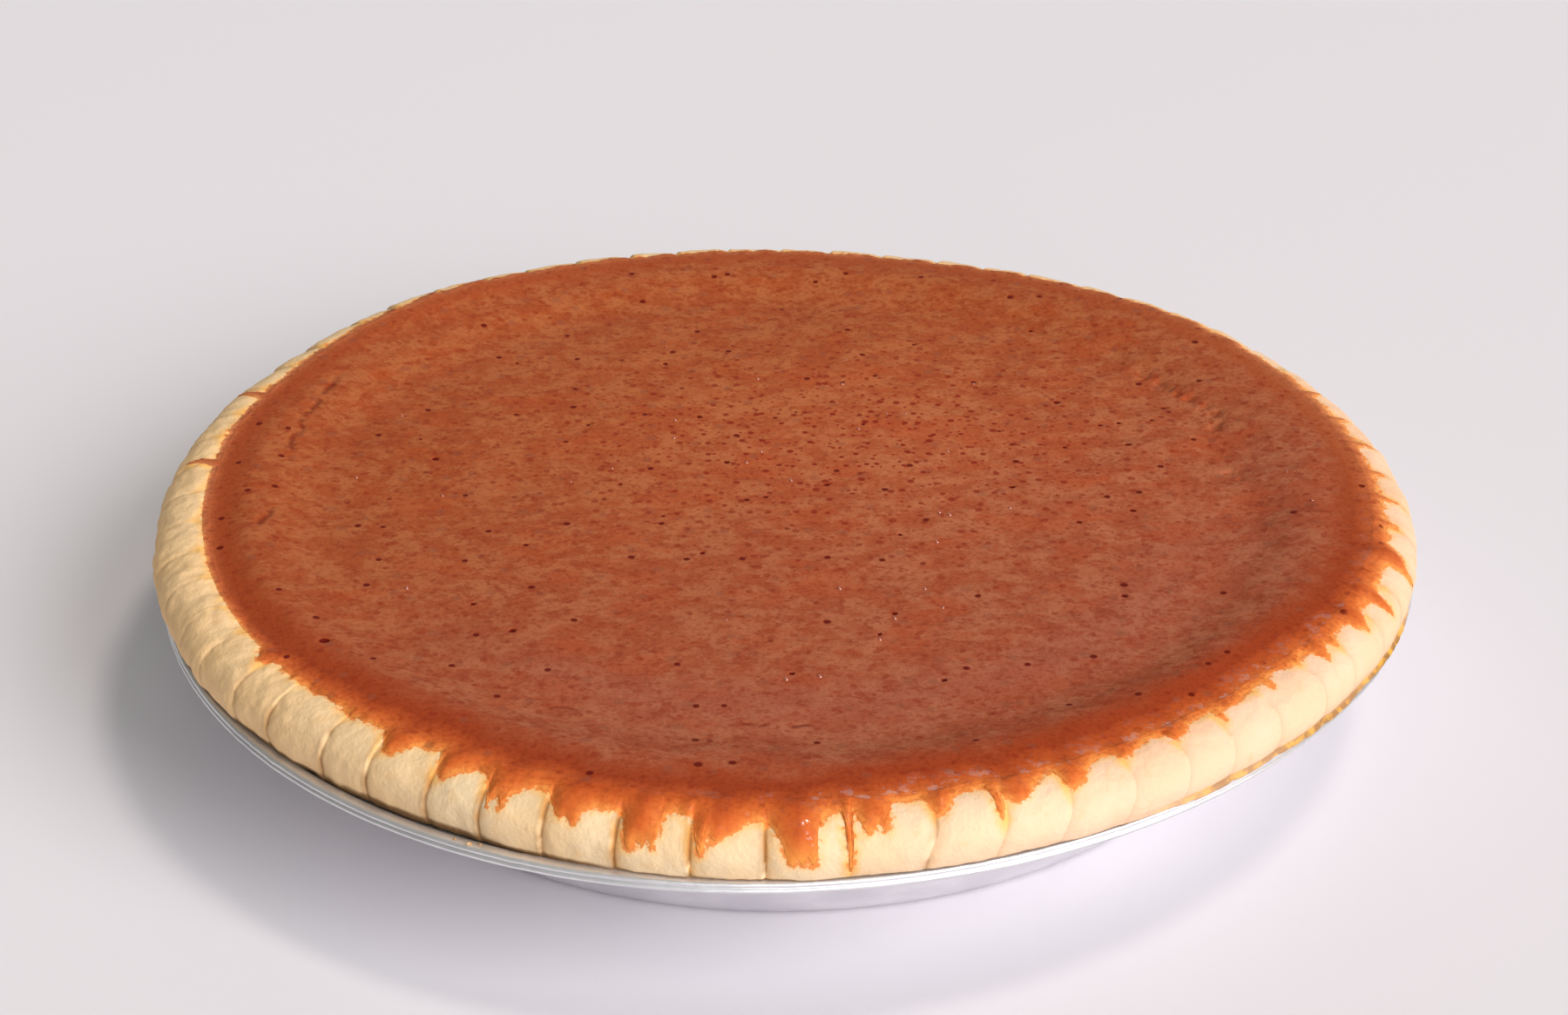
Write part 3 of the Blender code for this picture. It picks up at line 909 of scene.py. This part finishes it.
def sinkMarks(piece):
    # finer faces round the bubbles and creases, which are then pressed in
    places, marks = markPlaces()
    centres = np.zeros(len(piece.data.polygons) * 3)
    piece.data.polygons.foreach_get("center", centres)
    centres = centres.reshape(-1, 3) / mm
    flat = centres * (1.0, 1.0, 0.0)
    close = onTop(centres, custard["markReach"])
    chosen = np.zeros(len(centres), bool)
    which, apart = nearest(flat[close], places)
    chosen[close] = apart < np.where(which <= len(bubbles), 2.1, 1.7)
    cutFiner(piece, "FACE", chosen, 2)

    points = readPoints(piece)
    close = onTop(points, custard["markReach"])
    which, apart = nearest(points[close] * (1.0, 1.0, 0.0), places)
    width, depth, redness = marks[which].T
    isBubble = which <= len(bubbles)
    broken = np.where(isBubble, 1.0, smoothStep(0.7 + 1.3 * noiseAt(points[close], 3.0, 2, 47)))
    shape = np.exp(-((apart / width) ** np.where(isBubble, 4.0, 2.0)))
    points[close, 2] -= depth * broken * shape
    writePoints(piece, points)
    # dip: pits and creases painted darker, their own colour and painted shade inside them together
    dip = np.zeros(len(points))
    dip[close] = redness * np.where(isBubble, smoothStep(1.5 * shape), broken * shape)
    writeValues(piece, dip=dip)


def makeCustard():
    floor = 2.0 * tin["foil"] + crust["thickness"] + crust["gap"]
    radii = [0.0, 2.4, 4.4, 6.0] + list(np.arange(7.2, 98.5, 1.2)) + list(np.arange(99.2, 103.5, 1.2))
    rings = [topRing(radius) for radius in radii]
    rings += [toRollRing(part) for part in np.arange(0.0, 0.95, 0.12)]
    sheetFirst = len(rings)
    parts = [1.0 - (1.0 - part) ** 1.25 for part in np.linspace(0.0, 1.0, 22)]
    rings += [sheetRing(part) for part in parts]
    edgeIndex = len(rings) - 1
    rings += [sheetRing(part, -custard["sunk"]) for part in (1.0, 0.85, 0.4)]
    rings += [rollRing(roll, crust["gap"]) for roll in (130.0, 155.0, 180.0)]
    rings += [tinRing(tin["baseRadius"] - 4.9, floor), axisRing(floor)]
    piece = spinRings("custardFill", rings, custard["columns"])
    # from each radius outwards, and on as many rings past the edge, the columns are cut finer
    for radius, past, cuts in ((25.0, 6, 1), (50.0, 5, 1), (98.0, 3, 2)):
        moreColumns(piece, np.searchsorted(radii, radius), edgeIndex + past, cuts)
    placeRings(piece, rings, firstTurn)
    thickenSheet(piece, parts, sheetFirst)
    sinkMarks(piece)

    # broad low waves, with more of the smaller ones at the right
    points = readPoints(piece)
    radius = pieRadius(points)
    calm = smoothStep((110.0 - radius) / 12.0) * (points[:, 2] > custard["topFrom"])
    atRight = smoothStep(np.cos(np.radians(pieAngle(points) - 100.0)))
    lumpy = 1.0 + 1.2 * atRight * smoothStep((radius - 45.0) / 30.0)
    wave = noiseAt(points, 38.0, 2, 51) + 0.4 * lumpy * noiseAt(points * (0.7, 1.0, 1.0), 8.0, 2, 53)
    points[:, 2] += custard["waves"] * calm * wave
    writePoints(piece, points)
    finishPiece(piece, custardMaterial(), ["filling"])
    makeClosedBubbles(piece)


def makeClosedBubbles(top):
    points = readPoints(top)
    points = points[onTop(points, 108.0)]
    flat = np.array([(x, y, 0.0) for x, y in closedBubbles])
    heights = points[nearest(flat, points * (1.0, 1.0, 0.0))[0], 2]
    sizes = np.random.default_rng(29).uniform(0.30, 0.55, len(flat))
    deselectAll()
    bpy.ops.mesh.primitive_uv_sphere_add(segments=16, ring_count=10, radius=mm, location=origin)
    ball = readPoints(bpy.context.object)
    domes = []
    for spot, height, size in zip(flat, heights, sizes):
        place = spot + (0.0, 0.0, height - 0.25 * size)
        domes.append(ball * (size, size, 0.7 * size) + place)
    finishPiece(joinCopies("closedBubbles", domes), bubbleMaterial())


def bubbleMaterial():
    graph = Graph("bubbleFilm", {"Coat Weight": 1.0, "Coat Roughness": 0.03, "Coat IOR": 2.3})
    tint = graph.cloud(graph.place(), 0.6, 2.0)
    colour = graph.blend(tint, (0.30, 0.030, 0.010), (0.46, 0.085, 0.026))
    return graph.finish({"Base Color": colour, "Roughness": 0.15 + 0.1 * tint})


def custardMaterial():
    graph = Graph("bakedCustard", {"Specular IOR Level": 0.05, "Coat Roughness": 0.19, "Coat IOR": 1.8})
    here = graph.place()
    broad = graph.cloud(here, 22.0, 3.0)
    blotch = graph.cloud(graph.place(scale=(0.7, 1.0, 1.0), turn=5.0), 11.0, 4.0, 0.6)
    streak = graph.cloud(graph.place(scale=(0.9, 1.0, 1.0)), 5.0, 5.0, 0.66)
    vein = graph.cloud(graph.place(scale=(0.8, 1.0, 1.0), turn=8.0), 2.4, 3.0, 0.6)
    fleck = graph.cloud(graph.place(scale=(0.8, 1.0, 1.0), turn=-6.0), 1.3, 2.0, 0.6)
    fine = graph.cloud(here, 0.9, 3.0, 0.62)
    front = graph.attribute("front")
    inward = graph.attribute("inward")
    dip = graph.attribute("dip")
    roll = graph.attribute("roll")
    speckle = graph.attribute("speckle")
    skin = graph.blend(graph.between(streak, 0.40, 0.60), (0.43, 0.088, 0.025), (0.50, 0.142, 0.047))
    skin = graph.blend(graph.between(blotch, 0.55, 0.62) * 0.45, skin, (0.48, 0.080, 0.019))
    # painted sheen: greyer band at the front of the top
    skin = graph.blend(graph.attribute("veil") * 0.4, skin, (0.42, 0.118, 0.050))
    skin = graph.blend(graph.between(vein, 0.53, 0.66) * (0.65 - 0.2 * speckle), skin, (0.36, 0.056, 0.015))
    # painted sheen: the top darkened outside its lighter middle
    skin = graph.blend((1.0 - speckle) * 0.8, skin, (0.83, 0.80, 0.78), "MULTIPLY")
    # painted sheen: the front right of the top made greyer and pinker, standing in for the reflection of the
    # lamps
    skin = graph.blend(graph.attribute("near"), skin, (1.02, 1.10, 1.62), "MULTIPLY")
    skin = graph.blend(graph.between(fleck, 0.58, 0.68) * 0.45, skin, (0.28, 0.034, 0.010))

    # the edge is orange where it is thin; behind that the front is painted dark, painted shade where its
    # slopes reflect little light, and the back is orange-red
    edge = graph.attribute("rim") + 4.0 * (streak - 0.5) + 1.4 * (fine - 0.5)
    nearStops = [(0.0, (0.80, 0.27, 0.062)), (0.022, (0.72, 0.19, 0.042)), (0.08, (0.64, 0.135, 0.029)),
                 (0.20, (0.50, 0.084, 0.018)), (0.36, (0.34, 0.047, 0.012)), (1.0, (0.36, 0.056, 0.015))]
    farStops = [(0.0, (0.80, 0.32, 0.10)), (0.04, (0.60, 0.20, 0.076)), (0.13, (0.46, 0.125, 0.047)),
                (0.30, (0.40, 0.086, 0.026)), (0.6, (0.38, 0.066, 0.018)), (1.0, (0.38, 0.066, 0.018))]
    near = graph.add("ShaderNodeValToRGB", {"stops": nearStops}, {"Fac": edge * 0.05})
    far = graph.add("ShaderNodeValToRGB", {"stops": farStops}, {"Fac": edge * 0.05})
    fringe = graph.blend(front, far, near)
    fringe = graph.blend((1.0 - graph.between(roll, 4.0, 44.0)) * 0.6, fringe, (0.86, 0.33, 0.070))
    deep = inward * (1.9 - 0.9 * front) + 7.0 * (broad - 0.5) + 5.0 * (streak - 0.5)
    colour = graph.blend(graph.between(deep, 7.0, 17.0), fringe, skin)
    pored = graph.between(fine, 0.46, 0.64) * (0.2 + 0.4 * graph.between(roll, 45.0, 95.0))
    colour = graph.blend(pored, colour, (0.74, 0.66, 0.62), "MULTIPLY")

    # closed bubbles under the skin: many small red ones, a few dark, and grey where they lie deeper
    level = graph.between(roll, 74.0, 90.0)
    for gap, size, least, tint, strength in (
            (8.0, 0.13, 0.40, (0.26, 0.075, 0.040), 0.4),
            (4.4, 0.17, 0.25, (0.23, 0.014, 0.004), speckle * 0.6 + 0.35),
            (2.7, 0.17, 0.35, (0.29, 0.026, 0.008), speckle * 0.9 + 0.1),
            (13.0, 0.055, 0.45, (0.13, 0.006, 0.002), 0.95)):
        settings = {"voronoi_dimensions": "2D", "feature": "F1"}
        dots = graph.add("ShaderNodeTexVoronoi", settings, {"Vector": here, "Scale": 1.0 / (gap * mm)})
        chance = graph.beside(dots, 1)
        grown = size * (0.45 + chance)
        spot = (1.0 - graph.between(dots, grown * 0.55, grown)) * graph.between(chance, least, least + 0.15)
        colour = graph.blend(spot * strength * level, colour, tint)
    # pits and creases painted dark red: their own darker colour together with painted shade inside them
    colour = graph.blend(graph.between(dip, 0.02, 0.7), colour, (0.12, 0.007, 0.003))
    rough = 0.46 + 0.16 * streak + 0.12 * fine
    shine = graph.attribute("shine")
    coat = shine * graph.between(0.5 * fine + vein, 0.78, 0.88)
    swell = graph.relief(streak + 0.4 * vein, 0.14)
    pores = graph.relief(fine * (1.0 - 0.7 * shine), 0.09, swell)
    return graph.finish({"Base Color": colour, "Roughness": rough, "Coat Weight": coat, "Normal": pores})


crumbs = {
    # on the tin's bead and in the gap beside it: pie angle, distance from the middle, size
    "places": ((335.0, 121.9, 0.40), (335.8, 121.2, 0.27), (333.6, 121.6, 0.22), (14.5, 121.2, 0.48),
               (15.4, 121.6, 0.26), (41.3, 121.9, 0.32), (300.5, 121.7, 0.30)),
    "unevenness": 0.35,
}


def makeCrumbs():
    deselectAll()
    bpy.ops.mesh.primitive_ico_sphere_add(subdivisions=3, radius=mm, location=origin)
    ball = readPoints(bpy.context.object)
    shapes = []
    for number, (angle, distance, size) in enumerate(crumbs["places"]):
        lumps = 1.0 + crumbs["unevenness"] * noiseAt(ball + 9.0 * number, 0.9, 2, 71)
        place = onPie(angle, distance + outOfRound(angle), tin["beadTop"] + 0.3 * size)
        shapes.append(ball * lumps[:, None] * (1.2 * size, 0.9 * size, 0.65 * size) + place)
    finishPiece(joinCopies("crumbs", shapes), crumbMaterial())


def crumbMaterial():
    graph = Graph("toastedCrumb", {"Specular IOR Level": 0.3})
    here = graph.place()
    crumb = graph.cloud(here, 0.5, 3.0)
    colour = graph.blend(graph.between(crumb, 0.4, 0.6), (0.84, 0.60, 0.36), (0.50, 0.27, 0.10))
    rough = 0.6 + 0.2 * crumb
    return graph.finish({"Base Color": colour, "Roughness": rough, "Normal": graph.relief(crumb, 0.1)})


makeTin()
makeCrust()
makeCustard()
makeCrumbs()

room = {
    "floorSize": 8.0,
    "floorHeight": -0.0001,
    "floorColour": (0.80, 0.76, 0.81, 1.0),
    "floorRoughness": 0.8,
    "colour": (0.89, 0.96, 0.82, 1.0),  # of the light from all sides
    "strength": 0.185,
    # a broad lamp like a window at the front right, a fill from the front, one from above and
    # a pale panel at the back
    "lamps": {
        "windowLight": {"place": (9.56, -7.46, 7.0), "size": 10.0, "power": 1890.0},
        "frontFill": {"place": (2.8, -12.0, 6.8), "size": 10.0, "power": 640.0},
        "topLight": {"place": (4.4, 0.8, 11.6), "size": 2.6, "power": 350.0, "colour": (1.0, 0.9, 0.82)},
        "backPanel": {"place": (-0.6, 10.0, 4.8), "size": 7.2, "power": 100.0},
    },
}

bpy.ops.mesh.primitive_plane_add(size=room["floorSize"], location=(0.0, 0.0, room["floorHeight"]))
floorPiece = bpy.context.object
floorPiece.name = "paleFloor"
floorLooks = {"Base Color": room["floorColour"], "Roughness": room["floorRoughness"]}
floorPiece.data.materials.append(Graph("paleFloor", floorLooks).material)

world = bpy.data.worlds.new("softRoom")
world.use_nodes = True
sky = world.node_tree.nodes["Background"]
sky.inputs["Color"].default_value = room["colour"]
sky.inputs["Strength"].default_value = room["strength"]
bpy.context.scene.world = world

for name, lamp in room["lamps"].items():
    deselectAll()
    bpy.ops.object.light_add(type="AREA", location=lamp["place"])
    light = bpy.context.object
    light.name = name
    light.data.shape = "DISK"
    light.data.size = lamp["size"]
    light.data.energy = lamp["power"]
    light.data.color = lamp.get("colour", (1.0, 1.0, 1.0))
    light.rotation_euler = Vector(lamp["place"]).to_track_quat("Z", "Y").to_euler()

view = {
    "place": (0.0006, -0.5359, 0.3166),
    "tilt": 62.1,  # degrees up from straight down
    "lens": 69.825,
    "sensor": 36.0,
}

bpy.ops.object.camera_add(location=view["place"], rotation=(math.radians(view["tilt"]), 0.0, 0.0))
camera = bpy.context.object
camera.data.lens = view["lens"]
camera.data.sensor_width = view["sensor"]
camera.data.sensor_fit = "HORIZONTAL"
bpy.context.scene.camera = camera
bpy.context.scene.view_settings.view_transform = "Standard"
